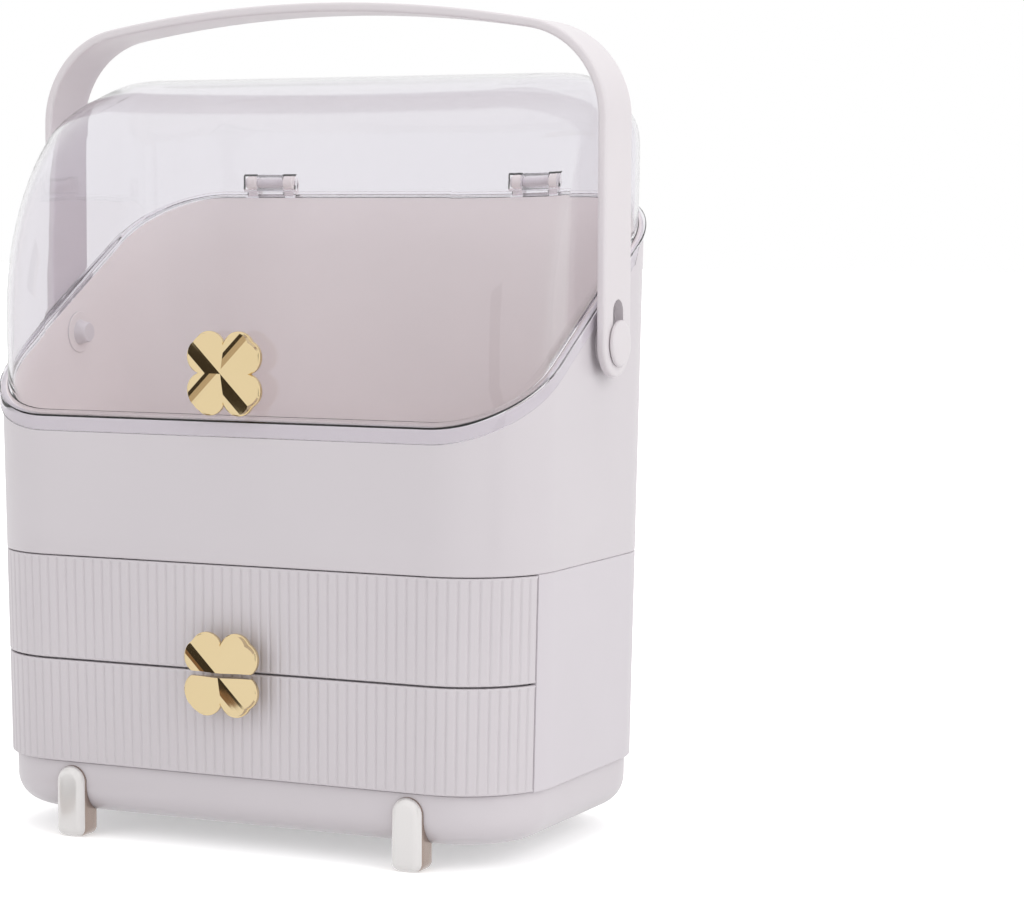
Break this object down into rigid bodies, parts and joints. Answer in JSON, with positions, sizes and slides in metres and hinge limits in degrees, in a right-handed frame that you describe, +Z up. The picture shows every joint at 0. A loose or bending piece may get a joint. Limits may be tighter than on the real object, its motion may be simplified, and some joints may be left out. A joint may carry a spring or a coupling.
{
  "type": "makeup organizer",
  "caption": "Vanity storage case with ribbed drawers, an open upper compartment under a clear hinged dome lid, clover knobs and a folding carrying handle.",
  "frame": {"origin": "centre of the bounding box in plan, at the bottom of the feet", "axes": "+Z up, front of the case towards -Y, +X towards the right-hand side of the case seen from the front"},
  "size_m": [0.2868, 0.1762, 0.3658],
  "materials": {
    "case_plastic": "smooth moulded, semi-gloss, pale pearl grey",
    "cabinet_plastic": "smooth moulded, semi-gloss, pale pearl grey",
    "drawer_front_plastic": "ribbed, semi-gloss, pale pearl grey",
    "foot_plastic": "glossy ivory face, warmer sides",
    "lid_clear": "clear polished plastic with a faint cool tint",
    "knob_gold": "bright gold plating on moulded plastic",
    "screw_steel": "plain machine finish",
    "handle_plastic": "smooth moulded strap, semi-gloss"
  },
  "bodies": {
    "case": {"base_plinth": "case_plastic", "foot_front_left": "foot_plastic", "foot_front_right": "foot_plastic", "foot_back_left": "foot_plastic", "foot_back_right": "foot_plastic", "foot_screw_front_left": "screw_steel", "foot_screw_front_right": "screw_steel", "foot_screw_back_left": "screw_steel", "foot_screw_back_right": "screw_steel", "cabinet_shell": "cabinet_plastic", "cabinet_shelf": "cabinet_plastic", "upper_case": "case_plastic", "case_screw_front_left": "screw_steel", "case_screw_front_right": "screw_steel", "case_screw_back_left": "screw_steel", "case_screw_back_right": "screw_steel", "hinge_pin_left": "screw_steel", "hinge_pin_right": "screw_steel"},
    "lid": {"lid": "lid_clear", "lid_knob": "knob_gold", "lid_knob_screw": "screw_steel"},
    "upper_drawer": {"upper_drawer_tray": "cabinet_plastic", "upper_drawer_front": "drawer_front_plastic", "upper_knob_half": "knob_gold", "upper_knob_screw": "screw_steel"},
    "lower_drawer": {"lower_drawer_tray": "cabinet_plastic", "lower_drawer_front": "drawer_front_plastic", "lower_knob_half": "knob_gold", "lower_knob_screw": "screw_steel"},
    "carry_handle": {"handle": "handle_plastic", "handle_pin_left": "handle_plastic", "handle_pin_right": "handle_plastic"}
  },
  "joints": [
    {"name": "lid_open", "type": "hinge", "parent": "case", "child": "lid", "pos_m": [0, 0.08409, 0.2889], "axis": [-1, 0, 0], "range_deg": [0, 64]},
    {"name": "handle_fold", "type": "hinge", "parent": "case", "child": "carry_handle", "pos_m": [0, 0.00959, 0.2183], "axis": [-1, 0, 0], "range_deg": [0, 135]},
    {"name": "upper_drawer_slide", "type": "slide", "parent": "case", "child": "upper_drawer", "axis": [0, -1, 0], "range_m": [0, 0.11]},
    {"name": "lower_drawer_slide", "type": "slide", "parent": "case", "child": "lower_drawer", "axis": [0, -1, 0], "range_m": [0, 0.11]}
  ],
  "couplings": [
    {"joint": "handle_fold", "follows": "lid_open", "ratio": 2.1}
  ]
}
